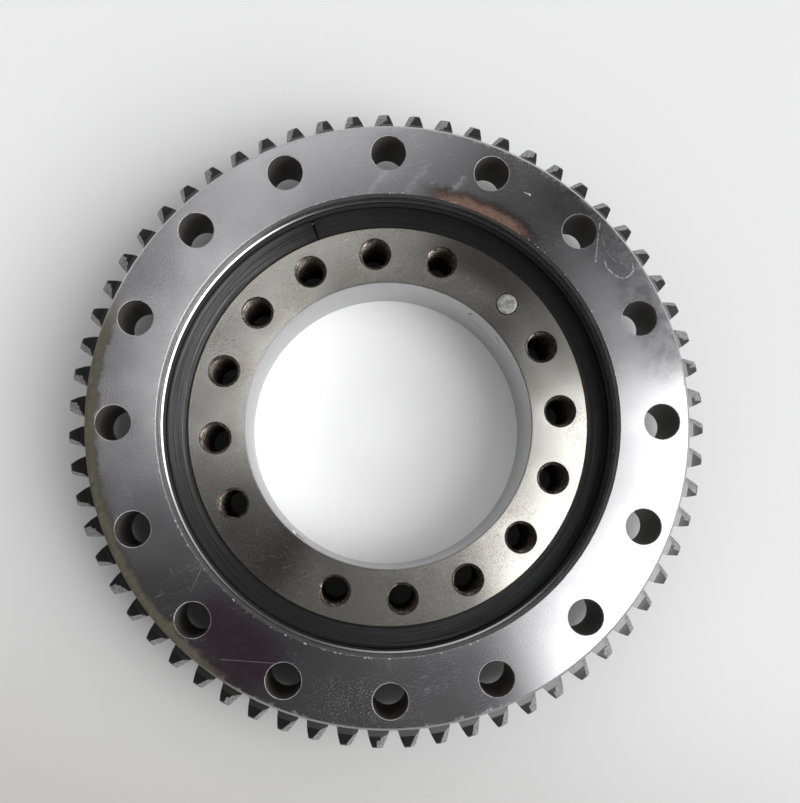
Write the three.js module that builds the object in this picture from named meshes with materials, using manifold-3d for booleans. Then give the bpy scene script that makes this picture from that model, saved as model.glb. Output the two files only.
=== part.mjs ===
// Slewing ring bearing: a four-point-contact ball bearing whose outer ring carries an external spur gear.
// Millimetres, +Z up. The origin is on the axis, at the inner ring's bottom face.
import * as THREE from "three";
import { mergeVertices } from "three/addons/utils/BufferGeometryUtils.js";
import Module from "manifold-3d";

const wasm = await Module();
wasm.setup();

// Inner ring
const BORE_R = 72.5;
const BORE_CHAMFER = 0.5;
const INNER_TOP = 58;
const SEAL_LAND_R = 101;
const SEAL_SEAT_Z = 54;
const INNER_FOOT_CHAMFER = 1;
const SEAL_GROOVE_TOP = 57;
const SEAL_GROOVE_BOTTOM = 55;
const SEAL_GROOVE_DEPTH = 2.2;
const FOOT_GROOVE_TOP = 25.5;
const FOOT_GROOVE_BOTTOM = 21.5;
const FOOT_GROOVE_DEPTH = 2.4;
const TAPPED_PITCH_R = 87.5;
const TAPPED_MINOR_R = 6.95;
const TAPPED_MOUTH_R = 8.3;
const TAPPED_SLOTS = 16;
const TAPPED_FIRST_DEG = 94.5;
const PIN_SLOT = 2;
const GREASE_SLOT = 10;

// Outer ring
const OUTER_BOTTOM = 29;
const OUTER_TOP = 76;
const RIM_MOUTH_R = 114.4;
const RIM_WALL_R = 113;
const RIM_STEP_Z = 67.6;
const RIM_STEP = 0.9;
const FLANGE_R = 149;
const FLANGE_CHAMFER = 1.2;
const OUTER_FOOT_CHAMFER = 2;
const FIXING_COUNT = 16;
const FIXING_PITCH_R = 135;
const FIXING_R = 8.75;
const FIXING_FIRST_DEG = 90.16;

// Gear on the outer ring
const MODULE = 5;
const TEETH = 63;
const PRESSURE_DEG = 20;
const PITCH_R = (MODULE * TEETH) / 2;
const ROOT_R = PITCH_R - 1.25 * MODULE;
const ROOT_FILLET_HEIGHT = 1.6;
const ROOT_FILLET_WIDTH = 1.1;
const TIP_R = 161.3;
const GEAR_TOP = 58.5;
const TOOTH_CHAMFER_R = 155;
const TOOTH_CHAMFER_DEG = 30;
const FIRST_TOOTH_DEG = -0.55;

// Raceway and rolling elements
const RACE_R = 111;
const RACE_Z = 43;
const RACE_GAP = 2.2;
const BALL_R = 10;
const BALL_COUNT = 26;
const SPACER_R = 7.2;
const SPACER_CENTRE_HALF = 3;
const SPACER_RIM_HALF = 5.2;

// Load plug, its locking pin and the grease plug
const PLUG_R = 10;
const PIN_R = 5.2;
const PIN_TIP_R = 4.7;
const PIN_BOTTOM = 24;
const PIN_SET_IN = 0.2;
const PIN_PITCH_R = 86.6;
const PIN_DEG = 45.6;
const GREASE_DEG = TAPPED_FIRST_DEG - (360 / TAPPED_SLOTS) * GREASE_SLOT;
const GREASE_THREAD_R = 4.9;
const GREASE_DEPTH = 10;
const GREASE_SET_IN = 0.4;
const GREASE_PASSAGE_R = 2;
const HEX_SOCKET_R = 2.9;
const HEX_SOCKET_DEPTH = 4;

// Gap kept between pieces that touch on the real bearing, and the raceways that follow from it
const GAP = 0.3;
const GROOVE_R = BALL_R + GAP;
const INNER_SHOULDER_R = RACE_R - RACE_GAP / 2;
const OUTER_SHOULDER_R = RACE_R + RACE_GAP / 2;
const PLUG_HOLE_END_R = RACE_R - 5;
const PLUG_END_R = RACE_R - 4;

// How far a cutting solid runs past the face that it cuts
const OVER = 1;

// Flats round each kind of round piece
const INNER_SEGMENTS = 48;
const OUTER_SEGMENTS = TEETH;
const TAPPED_SEGMENTS = 16;
const FIXING_SEGMENTS = 20;
const PLUG_SEGMENTS = 24;
const PIN_SEGMENTS = 16;
const SCREW_SEGMENTS = 12;
const PASSAGE_SEGMENTS = 8;
const SPACER_SEGMENTS = 10;
const HEXAGON = 6;
const BALL_DETAIL = 1;
const WELD = 1e-4;

const steel = (color) => new THREE.MeshStandardMaterial({ color, roughness: 0.35, metalness: 0.95 });
const rubber = () => new THREE.MeshStandardMaterial({ color: 0x232424, roughness: 0.6, metalness: 0 });
const plastic = () => new THREE.MeshStandardMaterial({ color: 0xd9d2bd, roughness: 0.5, metalness: 0 });

const group = new THREE.Group();

function addPiece(name, geometry, material) {
  const mesh = new THREE.Mesh(geometry, material);
  mesh.name = name;
  group.add(mesh);
  return mesh;
}

// Shared vertices, position only, faces turned outward.
function closed(geometry) {
  geometry.deleteAttribute("normal");
  geometry.deleteAttribute("uv");
  const merged = mergeVertices(geometry, WELD);
  const triangles = [];
  const index = merged.index.array;
  for (let i = 0; i < index.length; i += 3) {
    const [a, b, c] = [index[i], index[i + 1], index[i + 2]];
    if (a !== b && b !== c && c !== a) triangles.push(a, b, c);
  }
  if (signedVolume(merged.attributes.position, triangles) < 0) triangles.reverse();
  merged.setIndex(triangles);
  return merged;
}

function signedVolume(position, triangles) {
  const a = new THREE.Vector3();
  const b = new THREE.Vector3();
  const c = new THREE.Vector3();
  let sum = 0;
  for (let i = 0; i < triangles.length; i += 3) {
    a.fromBufferAttribute(position, triangles[i]);
    b.fromBufferAttribute(position, triangles[i + 1]);
    c.fromBufferAttribute(position, triangles[i + 2]);
    sum += a.dot(b.cross(c)) / 6;
  }
  return sum;
}

function toSolid(geometry) {
  const whole = closed(geometry);
  return new wasm.Manifold(
    new wasm.Mesh({
      numProp: 3,
      vertProperties: new Float32Array(whole.attributes.position.array),
      triVerts: new Uint32Array(whole.index.array),
    }),
  );
}

function toGeometry(solid) {
  const mesh = solid.getMesh();
  const geometry = new THREE.BufferGeometry();
  geometry.setAttribute("position", new THREE.BufferAttribute(mesh.vertProperties, mesh.numProp));
  geometry.setIndex(new THREE.BufferAttribute(mesh.triVerts, 1));
  return geometry;
}

// A ring about Z from [radius, height] corners of its cross-section.
function revolve(corners, segments) {
  const profile = corners.map(([radius, height]) => new THREE.Vector2(radius, height));
  profile.push(profile[0].clone());
  return new THREE.LatheGeometry(profile, segments).rotateX(Math.PI / 2);
}

// A round bar along Z.
function bar(radius, bottom, top, segments, topRadius = radius) {
  const height = top - bottom;
  const geometry = new THREE.CylinderGeometry(topRadius, radius, height, segments);
  return geometry.rotateX(Math.PI / 2).translate(0, 0, bottom + height / 2);
}

// A round bar that points away from the axis at raceway height.
function radialBar(radius, from, to, segments, degrees) {
  const geometry = new THREE.CylinderGeometry(radius, radius, to - from, segments);
  geometry.rotateZ(-Math.PI / 2).translate((from + to) / 2, 0, RACE_Z);
  return geometry.rotateZ(THREE.MathUtils.degToRad(degrees));
}

function polar(radius, degrees) {
  const angle = THREE.MathUtils.degToRad(degrees);
  return [radius * Math.cos(angle), radius * Math.sin(angle)];
}

function tappedHoleAngles() {
  const angles = [];
  for (let slot = 0; slot < TAPPED_SLOTS; slot++) {
    if (slot === PIN_SLOT || slot === GREASE_SLOT) continue;
    angles.push(TAPPED_FIRST_DEG - (360 / TAPPED_SLOTS) * slot);
  }
  return angles;
}

// Half an octagon drawn round the ball: its flats lie at the contact angles.
// side is -1 for the groove in the inner ring and +1 for the groove in the outer ring.
function grooveCorners(side, clearance = 0) {
  const flat = GROOVE_R + clearance;
  const corner = flat * Math.tan(Math.PI / 8);
  return [
    [RACE_R + side * corner, RACE_Z + flat],
    [RACE_R + side * flat, RACE_Z + corner],
    [RACE_R + side * flat, RACE_Z - corner],
    [RACE_R + side * corner, RACE_Z - flat],
  ];
}

function innerRing() {
  const sealGroove = [
    [SEAL_LAND_R, SEAL_GROOVE_TOP],
    [SEAL_LAND_R - SEAL_GROOVE_DEPTH, SEAL_GROOVE_TOP],
    [SEAL_LAND_R - SEAL_GROOVE_DEPTH, SEAL_GROOVE_BOTTOM],
    [SEAL_LAND_R, SEAL_GROOVE_BOTTOM],
  ];
  const footGroove = [
    [INNER_SHOULDER_R, FOOT_GROOVE_TOP],
    [INNER_SHOULDER_R - FOOT_GROOVE_DEPTH, FOOT_GROOVE_TOP],
    [INNER_SHOULDER_R - FOOT_GROOVE_DEPTH, FOOT_GROOVE_BOTTOM],
    [INNER_SHOULDER_R, FOOT_GROOVE_BOTTOM],
  ];
  const section = [
    [BORE_R + BORE_CHAMFER, INNER_TOP],
    [SEAL_LAND_R, INNER_TOP],
    ...sealGroove,
    [SEAL_LAND_R, SEAL_SEAT_Z],
    [INNER_SHOULDER_R, SEAL_SEAT_Z],
    [INNER_SHOULDER_R, RACE_Z + GROOVE_R],
    ...grooveCorners(-1),
    [INNER_SHOULDER_R, RACE_Z - GROOVE_R],
    ...footGroove,
    [INNER_SHOULDER_R, INNER_FOOT_CHAMFER],
    [INNER_SHOULDER_R - INNER_FOOT_CHAMFER, 0],
    [BORE_R + BORE_CHAMFER, 0],
    [BORE_R, BORE_CHAMFER],
    [BORE_R, INNER_TOP - BORE_CHAMFER],
  ];
  let solid = toSolid(revolve(section, INNER_SEGMENTS));
  for (const degrees of tappedHoleAngles()) solid = solid.subtract(tappedHole(degrees));
  const plugHole = radialBar(PLUG_R + GAP, BORE_R - OVER, PLUG_HOLE_END_R, PLUG_SEGMENTS, PIN_DEG);
  const threadEnd = BORE_R + GREASE_DEPTH + GAP;
  const passageEnd = RACE_R - GROOVE_R + OVER;
  const greaseThread = radialBar(GREASE_THREAD_R + GAP, BORE_R - OVER, threadEnd, SCREW_SEGMENTS, GREASE_DEG);
  const passageStart = threadEnd - OVER;
  const greasePassage = radialBar(GREASE_PASSAGE_R, passageStart, passageEnd, PASSAGE_SEGMENTS, GREASE_DEG);
  for (const cutter of [plugHole, greaseThread, greasePassage]) solid = solid.subtract(toSolid(cutter));
  return toGeometry(solid.subtract(pinHole()));
}

// A through hole with a countersunk mouth at both ends.
function tappedHole(degrees) {
  const sink = TAPPED_MOUTH_R - TAPPED_MINOR_R;
  const flare = TAPPED_MOUTH_R + OVER;
  const shank = bar(TAPPED_MINOR_R, -OVER, INNER_TOP + OVER, TAPPED_SEGMENTS);
  const topMouth = bar(TAPPED_MINOR_R, INNER_TOP - sink, INNER_TOP + OVER, TAPPED_SEGMENTS, flare);
  const bottomMouth = bar(flare, -OVER, sink, TAPPED_SEGMENTS, TAPPED_MINOR_R);
  const solid = toSolid(shank).add(toSolid(topMouth)).add(toSolid(bottomMouth));
  const [x, y] = polar(TAPPED_PITCH_R, degrees);
  return solid.translate([x, y, 0]);
}

function pinHole() {
  const [x, y] = polar(PIN_PITCH_R, PIN_DEG);
  const hole = bar(PIN_TIP_R + GAP, PIN_BOTTOM - OVER, INNER_TOP + OVER, PIN_SEGMENTS, PIN_R + GAP);
  return toSolid(hole.translate(x, y, 0));
}

// One tooth from root to root, as [radius, angle] corners: the involute flank at chosen radii.
function toothCorners() {
  const baseR = PITCH_R * Math.cos(THREE.MathUtils.degToRad(PRESSURE_DEG));
  const involute = (radius) => {
    const pressure = Math.acos(Math.min(1, baseR / radius));
    return Math.tan(pressure) - pressure;
  };
  const halfAngle = (radius) => Math.PI / (2 * TEETH) + involute(PITCH_R) - involute(radius);
  const filletTop = ROOT_R + ROOT_FILLET_HEIGHT;
  const rightSide = [
    [ROOT_R, -(halfAngle(filletTop) + ROOT_FILLET_WIDTH / ROOT_R)],
    [filletTop, -halfAngle(filletTop)],
    [PITCH_R, -halfAngle(PITCH_R)],
    [TIP_R, -halfAngle(TIP_R)],
  ];
  const leftSide = rightSide.map(([radius, angle]) => [radius, -angle]).reverse();
  return [...rightSide, ...leftSide];
}

function gearOutline() {
  const corners = toothCorners();
  const first = THREE.MathUtils.degToRad(FIRST_TOOTH_DEG);
  const points = [];
  for (let tooth = 0; tooth < TEETH; tooth++) {
    const centre = first + (tooth * 2 * Math.PI) / TEETH;
    for (const [radius, angle] of corners) {
      points.push(new THREE.Vector2(radius * Math.cos(centre + angle), radius * Math.sin(centre + angle)));
    }
  }
  return new THREE.Shape(points);
}

function outerRing() {
  const blankR = TIP_R + OVER;
  const chamferDrop = (blankR - TOOTH_CHAMFER_R) * Math.tan(THREE.MathUtils.degToRad(TOOTH_CHAMFER_DEG));
  const section = [
    [RIM_MOUTH_R, OUTER_TOP],
    [RIM_WALL_R, OUTER_TOP - (RIM_MOUTH_R - RIM_WALL_R)],
    [RIM_WALL_R, RIM_STEP_Z],
    [OUTER_SHOULDER_R, RIM_STEP_Z - RIM_STEP],
    [OUTER_SHOULDER_R, RACE_Z + GROOVE_R],
    ...grooveCorners(1),
    [OUTER_SHOULDER_R, RACE_Z - GROOVE_R],
    [OUTER_SHOULDER_R, OUTER_BOTTOM + OUTER_FOOT_CHAMFER],
    [OUTER_SHOULDER_R + OUTER_FOOT_CHAMFER, OUTER_BOTTOM],
    [blankR, OUTER_BOTTOM],
    [blankR, GEAR_TOP - chamferDrop],
    [TOOTH_CHAMFER_R, GEAR_TOP],
    [FLANGE_R, GEAR_TOP],
    [FLANGE_R, OUTER_TOP - FLANGE_CHAMFER],
    [FLANGE_R - FLANGE_CHAMFER, OUTER_TOP],
  ];
  const depth = OUTER_TOP - OUTER_BOTTOM + 2 * OVER;
  const teeth = new THREE.ExtrudeGeometry(gearOutline(), { depth, bevelEnabled: false });
  teeth.translate(0, 0, OUTER_BOTTOM - OVER);
  let solid = toSolid(revolve(section, OUTER_SEGMENTS)).intersect(toSolid(teeth));
  for (let i = 0; i < FIXING_COUNT; i++) {
    const [x, y] = polar(FIXING_PITCH_R, FIXING_FIRST_DEG - (360 / FIXING_COUNT) * i);
    const hole = bar(FIXING_R, OUTER_BOTTOM - OVER, OUTER_TOP + OVER, FIXING_SEGMENTS);
    solid = solid.subtract(toSolid(hole.translate(x, y, 0)));
  }
  return toGeometry(solid);
}

// The strip that closes the ring gap at the top: heel in the inner ring, lip by the outer ring's wall.
function upperSeal() {
  const top = INNER_TOP - 0.1;
  const bottom = SEAL_SEAT_Z + GAP;
  const root = SEAL_LAND_R + GAP;
  const heel = SEAL_LAND_R - SEAL_GROOVE_DEPTH + GAP;
  const lip = OUTER_SHOULDER_R - 1.5 * GAP;
  const section = [
    [root, top],
    [lip - 0.8, top],
    [lip, top - 0.8],
    [lip - 0.6, bottom + 0.4],
    [lip - 2.4, bottom],
    [root, bottom],
    [root, SEAL_GROOVE_BOTTOM + GAP],
    [heel, SEAL_GROOVE_BOTTOM + GAP],
    [heel, SEAL_GROOVE_TOP - GAP],
    [root, SEAL_GROOVE_TOP - GAP],
  ];
  return closed(revolve(section, INNER_SEGMENTS));
}

// The ring below the gap: heel in the inner ring, lip turned up against the outer ring's bore chamfer.
function lowerSeal() {
  const heel = INNER_SHOULDER_R - FOOT_GROOVE_DEPTH + GAP;
  const top = FOOT_GROOVE_TOP - GAP;
  const lip = OUTER_SHOULDER_R + OUTER_FOOT_CHAMFER / 2 - GAP;
  const section = [
    [heel, top],
    [INNER_SHOULDER_R + 1, top],
    [lip - 0.9, OUTER_BOTTOM - 0.4],
    [lip - 0.5, OUTER_BOTTOM + 0.9],
    [lip, OUTER_BOTTOM + 0.8],
    [lip + 0.5, OUTER_BOTTOM + 0.2],
    [lip + 0.3, OUTER_BOTTOM - 1],
    [INNER_SHOULDER_R + 2.4, FOOT_GROOVE_BOTTOM + GAP],
    [heel, FOOT_GROOVE_BOTTOM + GAP],
  ];
  return closed(revolve(section, INNER_SEGMENTS));
}

// A waisted roll with a hollow seat for a ball at each end. Its axis is local Y.
function spacer() {
  const end = [
    [0, SPACER_CENTRE_HALF],
    [0.58 * SPACER_R, SPACER_CENTRE_HALF + 0.55],
    [SPACER_R, SPACER_RIM_HALF],
  ];
  const profile = [
    ...end.map(([radius, height]) => new THREE.Vector2(radius, -height)),
    ...end.map(([radius, height]) => new THREE.Vector2(radius, height)).reverse(),
  ];
  return closed(new THREE.LatheGeometry(profile, SPACER_SEGMENTS));
}

function loadPlug() {
  const corners = [...grooveCorners(-1, GAP), ...grooveCorners(1, GAP).reverse()];
  const raceSpace = toSolid(revolve(corners, INNER_SEGMENTS));
  const boreSpace = toSolid(bar(BORE_R + GAP, 0, INNER_TOP, INNER_SEGMENTS));
  const plug = toSolid(radialBar(PLUG_R, BORE_R - OVER, PLUG_END_R, PLUG_SEGMENTS, PIN_DEG));
  return toGeometry(plug.subtract(boreSpace).subtract(raceSpace).subtract(pinHole()));
}

function taperPin() {
  const [x, y] = polar(PIN_PITCH_R, PIN_DEG);
  const pin = bar(PIN_TIP_R, PIN_BOTTOM, INNER_TOP - PIN_SET_IN, PIN_SEGMENTS, PIN_R);
  return closed(pin.translate(x, y, 0));
}

function greasePlug() {
  const head = BORE_R + GREASE_SET_IN;
  const foot = BORE_R + GREASE_DEPTH;
  const screw = radialBar(GREASE_THREAD_R, head, foot, SCREW_SEGMENTS, GREASE_DEG);
  const socket = radialBar(HEX_SOCKET_R, BORE_R - OVER, BORE_R + HEX_SOCKET_DEPTH, HEXAGON, GREASE_DEG);
  return toGeometry(toSolid(screw).subtract(toSolid(socket)));
}

addPiece("inner_ring", innerRing(), steel(0xa8a49c));
addPiece("outer_ring", outerRing(), steel(0x9c9c9e));
addPiece("upper_seal", upperSeal(), rubber());
addPiece("lower_seal", lowerSeal(), rubber());
addPiece("load_plug", loadPlug(), steel(0x96938d));
addPiece("taper_pin", taperPin(), steel(0xb4b4b2));
addPiece("grease_plug", greasePlug(), steel(0x8c8a86));

const BALL_STEP_DEG = 360 / BALL_COUNT;
for (let i = 0; i < BALL_COUNT; i++) {
  const number = String(i + 1).padStart(2, "0");
  const sphere = closed(new THREE.IcosahedronGeometry(BALL_R, BALL_DETAIL));
  const ball = addPiece(`ball_${number}`, sphere, steel(0xc8c8ca));
  ball.position.set(...polar(RACE_R, BALL_STEP_DEG * i), RACE_Z);
  const between = addPiece(`spacer_${number}`, spacer(), plastic());
  const halfway = BALL_STEP_DEG * (i + 0.5);
  between.position.set(...polar(RACE_R, halfway), RACE_Z);
  between.rotation.z = THREE.MathUtils.degToRad(halfway);
}

export default group;
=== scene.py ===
import math

import bpy
import numpy as np
from mathutils import Matrix, Vector


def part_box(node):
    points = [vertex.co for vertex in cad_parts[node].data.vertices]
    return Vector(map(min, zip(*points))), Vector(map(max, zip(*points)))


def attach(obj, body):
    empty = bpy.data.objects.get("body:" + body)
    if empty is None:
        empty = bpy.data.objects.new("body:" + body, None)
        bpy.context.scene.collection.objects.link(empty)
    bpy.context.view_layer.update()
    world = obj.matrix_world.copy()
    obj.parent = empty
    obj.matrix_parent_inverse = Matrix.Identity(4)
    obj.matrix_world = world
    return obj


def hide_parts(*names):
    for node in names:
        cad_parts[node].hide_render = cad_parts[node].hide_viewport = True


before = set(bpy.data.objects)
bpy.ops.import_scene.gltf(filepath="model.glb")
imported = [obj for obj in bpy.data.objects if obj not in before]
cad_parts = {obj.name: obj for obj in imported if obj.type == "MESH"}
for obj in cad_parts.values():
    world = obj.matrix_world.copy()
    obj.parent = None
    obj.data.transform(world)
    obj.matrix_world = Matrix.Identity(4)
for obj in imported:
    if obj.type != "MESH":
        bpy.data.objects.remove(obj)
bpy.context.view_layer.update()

# All lengths below are in millimetres until a mesh is made. Heights come from the CAD bodies.
MM = 0.001


def heights(node):
    low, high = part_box(node)
    return low.z / MM, high.z / MM


INNER_BOTTOM, INNER_TOP = heights("inner_ring")
OUTER_BOTTOM, OUTER_TOP = heights("outer_ring")

# Inner ring
BORE_R = 72.5
LAND_R = 101
SHOULDER_R = 109.9
TAPPED_PITCH_R = 87.5
TAPPED_SLOTS = 16
TAPPED_FIRST = 94.5
PIN_SLOT, GREASE_SLOT = 2, 10
THREAD_MAJOR_R, THREAD_MINOR_R, THREAD_PITCH = 8.0, 6.92, 2.0
MOUTH_R = 8.3
PIN_PITCH_R, PIN_ANGLE = 86.6, 45.6
PIN_R, PIN_TIP_R, PIN_BOTTOM = 5.2, 4.7, 24
PLUG_R, PLUG_HOLE_R, PLUG_HOLE_END = 10, 10.15, 106
GREASE_HOLE_R, GREASE_DRILL_R = 5.2, 2
SEAL_GROOVE_TOP, SEAL_GROOVE_BOTTOM, SEAL_SEAT = 56.6, 54.6, 54
FOOT_GROOVE_TOP, FOOT_GROOVE_BOTTOM = 25.5, 21.5
GREASE_ANGLE = TAPPED_FIRST - GREASE_SLOT * 360 / TAPPED_SLOTS

# Outer ring and its gear
MOUTH_EDGE_R = 114.4
RIM_WALL_R = 113
RIM_STEP_Z = 67.6
OUTER_BORE_R = 112.1
FLANGE_R = 149
FIXING_R, FIXING_PITCH_R, FIXING_COUNT, FIXING_FIRST = 8.75, 135, 16, 90.16
MODULE, TEETH, FIRST_TOOTH = 5, 63, -0.55
PITCH_R = MODULE * TEETH / 2
ROOT_R = PITCH_R - 1.25 * MODULE
TIP_R = 161.28
GEAR_TOP = 58.5
TOOTH_CHAMFER_R = 155
HOLE_MOUTH = 0.3

# Raceway
RACE_R, RACE_Z, BALL_R = 111, 43, 10
BALL_COUNT = 26
GROOVE_R = 10.7
BALL_PATH_R = 10.9

# Faces round a full ring, and how far a cutting tool stands past the face it cuts
RING_STEPS = 432
OVER = 3


# -------------------- outlines

def polar(radius, degrees):
    angle = math.radians(degrees)
    return radius * math.cos(angle), radius * math.sin(angle)


def rounded(corners, steps=4):
    """A closed outline of (a, b, radius) corners, with each corner rounded to its radius."""
    points = []
    count = len(corners)
    for i, (a, b, radius) in enumerate(corners):
        here = Vector((a, b))
        if not radius:
            points.append((a, b))
            continue
        before = (Vector(corners[i - 1][:2]) - here).normalized()
        after = (Vector(corners[(i + 1) % count][:2]) - here).normalized()
        half = before.angle(after) / 2
        reach = radius / math.tan(half)
        centre = here + (before + after).normalized() * (radius / math.sin(half))
        start, end = here + before * reach - centre, here + after * reach - centre
        for step in range(steps + 1):
            arm = start.lerp(end, step / steps).normalized() * radius
            points.append(tuple(centre + arm))
    return points


def groove(side, steps=7):
    """The gothic-arch raceway of one ring, from its upper mouth to its lower mouth."""
    offset = (GROOVE_R - BALL_R - 0.15) / math.sqrt(2)
    mouth_r = OUTER_BORE_R if side > 0 else SHOULDER_R
    centre_r = RACE_R - side * offset
    mouth_angle = math.acos(abs(mouth_r - centre_r) / GROOVE_R)
    apex_angle = math.asin(offset / GROOVE_R)
    upper = []
    for step in range(steps + 1):
        angle = mouth_angle + (apex_angle - mouth_angle) * step / steps
        height = GROOVE_R * math.sin(angle) - offset
        upper.append((centre_r + side * GROOVE_R * math.cos(angle), height))
    lower = [(radius, -height) for radius, height in reversed(upper[:-1])]
    return [(radius, RACE_Z + height, 0) for radius, height in upper + lower]


# -------------------- meshes

def volume(points, faces):
    total = 0.0
    for face in faces:
        a = points[face[0]]
        for b, c in zip(face[1:], face[2:]):
            total += np.dot(a, np.cross(points[b], points[c]))
    return total


def make_object(name, points, faces):
    points = np.array(points, float)
    if volume(points, faces) < 0:
        faces = [tuple(reversed(face)) for face in faces]
    mesh = bpy.data.meshes.new(name)
    mesh.from_pydata((points * MM).tolist(), [], faces)
    mesh.update()
    thing = bpy.data.objects.new(name, mesh)
    bpy.context.scene.collection.objects.link(thing)
    return thing


def grid_faces(rows, columns, wrap_rows=True, wrap_columns=True):
    faces = []
    for i in range(rows if wrap_rows else rows - 1):
        for j in range(columns if wrap_columns else columns - 1):
            k, m = (i + 1) % rows, (j + 1) % columns
            faces.append((i * columns + j, k * columns + j, k * columns + m, i * columns + m))
    return faces


def lathe(name, profile, segments):
    """A ring about Z whose cross-section is the closed profile of (radius, height) points."""
    radii, levels = np.array(profile).T
    turns = np.linspace(0, 2 * math.pi, segments, endpoint=False)
    points = np.stack(
        [np.outer(np.cos(turns), radii), np.outer(np.sin(turns), radii), np.tile(levels, (segments, 1))], -1
    )
    return make_object(name, points.reshape(-1, 3), grid_faces(segments, len(profile)))


def spun(profile, segments):
    """Points and faces of a solid about Z whose profile starts and ends on the axis."""
    turns = np.linspace(0, 2 * math.pi, segments, endpoint=False)
    points = [(0, 0, profile[0][1])]
    for radius, level in profile[1:-1]:
        points += [(radius * math.cos(t), radius * math.sin(t), level) for t in turns]
    points.append((0, 0, profile[-1][1]))
    rings = len(profile) - 2
    faces = [tuple(1 + v for v in face) for face in grid_faces(rings, segments, wrap_rows=False)]
    last = len(points) - 1
    for j in range(segments):
        k = (j + 1) % segments
        faces.append((0, 1 + j, 1 + k))
        faces.append((last, 1 + (rings - 1) * segments + k, 1 + (rings - 1) * segments + j))
    return np.array(points, float), faces


def moved(points, place):
    return np.array([tuple(place @ Vector(p)) for p in points])


def placed(profile, segments, place):
    """Points and faces of a turned solid, moved from the Z axis to its place."""
    points, faces = spun(profile, segments)
    return moved(points, place), faces


def turned_part(name, profile, segments, place):
    return make_object(name, *placed(profile, segments, place))


def joined(name, parts):
    """One object from many separate solids, each given as (points, faces)."""
    points, faces = [], []
    for part_points, part_faces in parts:
        part_points = np.array(part_points, float)
        if volume(part_points, part_faces) < 0:
            part_faces = [tuple(reversed(face)) for face in part_faces]
        start = len(points)
        points += [tuple(p) for p in part_points]
        faces += [tuple(start + v for v in face) for face in part_faces]
    return make_object(name, points, faces)


def boolean(target, tool, operation):
    modifier = target.modifiers.new("cut", "BOOLEAN")
    modifier.operation = operation
    modifier.solver = "MANIFOLD"
    modifier.object = tool
    graph = bpy.context.evaluated_depsgraph_get()
    result = bpy.data.meshes.new_from_object(target.evaluated_get(graph))
    target.modifiers.clear()
    target.data = result
    bpy.data.objects.remove(tool)
    return target


def cut(target, *parts):
    """Takes separate solids, each given as (points, faces), away from an object."""
    return boolean(target, joined("tool", parts), "DIFFERENCE")


def finish_piece(thing, body, node, shader, smooth_angle=28):
    thing.data.shade_smooth()
    thing.data.set_sharp_from_angle(angle=math.radians(smooth_angle))
    thing.data.materials.clear()
    thing.data.materials.append(shader.material)
    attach(thing, body)
    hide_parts(node)
    return thing


# -------------------- gear outline

def involute(radius):
    base = PITCH_R * math.cos(math.radians(20))
    pressure = math.acos(min(1, base / radius))
    return math.tan(pressure) - pressure


def half_tooth(radius):
    """Half the angle of a tooth at a radius."""
    return math.pi / (2 * TEETH) + involute(PITCH_R) - involute(radius)


def gear_outline():
    flank = [(ROOT_R, 1.75)] + [(r, 0) for r in np.linspace(ROOT_R + 2.4, TIP_R - 0.5, 8)] + [(TIP_R, 0.18)]
    corners = []
    for tooth in range(TEETH):
        middle = math.radians(FIRST_TOOTH) + tooth * 2 * math.pi / TEETH
        rising = [(r, middle - half_tooth(r), fillet) for r, fillet in flank]
        falling = [(r, middle + half_tooth(r), fillet) for r, fillet in reversed(flank)]
        for radius, angle, fillet in rising + [(TIP_R, middle, 0)] + falling:
            corners.append((radius * math.cos(angle), radius * math.sin(angle), fillet))
    return rounded(corners, steps=5)


def prism(name, outline, low, high):
    count = len(outline)
    points = [(x, y, low) for x, y in outline] + [(x, y, high) for x, y in outline]
    faces = [(i, (i + 1) % count, count + (i + 1) % count, count + i) for i in range(count)]
    faces += [tuple(reversed(range(count))), tuple(range(count, 2 * count))]
    return make_object(name, points, faces)


def cone_height(radius):
    return GEAR_TOP - max(0, radius - TOOTH_CHAMFER_R) * math.tan(math.radians(30))


def ground_facets():
    """One wedge per tooth: the corner that was ground off by hand at the upper end of one flank."""
    draw = np.random.default_rng(11)
    wedges = []
    for tooth in range(TEETH):
        middle = math.radians(FIRST_TOOTH) + tooth * 2 * math.pi / TEETH
        along = Vector((math.cos(middle), math.sin(middle)))
        across = Vector((-along.y, along.x))
        start_r = 152.6 + draw.uniform(-0.4, 0.9)
        depth = 1.9 + draw.uniform(-0.5, 0.8)
        reach = draw.uniform(-0.25, 0.35)
        end_r = 160.4 + draw.uniform(-1.2, 0.4)
        a = Vector((start_r, start_r * half_tooth(start_r), cone_height(start_r)))
        b = Vector((TIP_R, TIP_R * half_tooth(TIP_R), cone_height(TIP_R) - depth))
        c = Vector((end_r, end_r * half_tooth(end_r) * reach, cone_height(end_r)))
        normal = (b - a).cross(c - a)
        base = []
        for u, v in ((151.6, -2), (163, -2), (163, 4.6), (151.6, 7.4)):
            level = a.z - (normal.x * (u - a.x) + normal.y * (v - a.y)) / normal.z
            base.append((u, v, level))
        corners = [(u, v, z) for u, v, z in base] + [(u, v, GEAR_TOP + 6) for u, v, z in base]
        points = [tuple(along * u + across * v) + (z,) for u, v, z in corners]
        faces = [(3, 2, 1, 0), (4, 5, 6, 7), (0, 1, 5, 4), (1, 2, 6, 5), (2, 3, 7, 6), (3, 0, 4, 7)]
        wedges.append((points, faces))
    return joined("facets", wedges)


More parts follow.
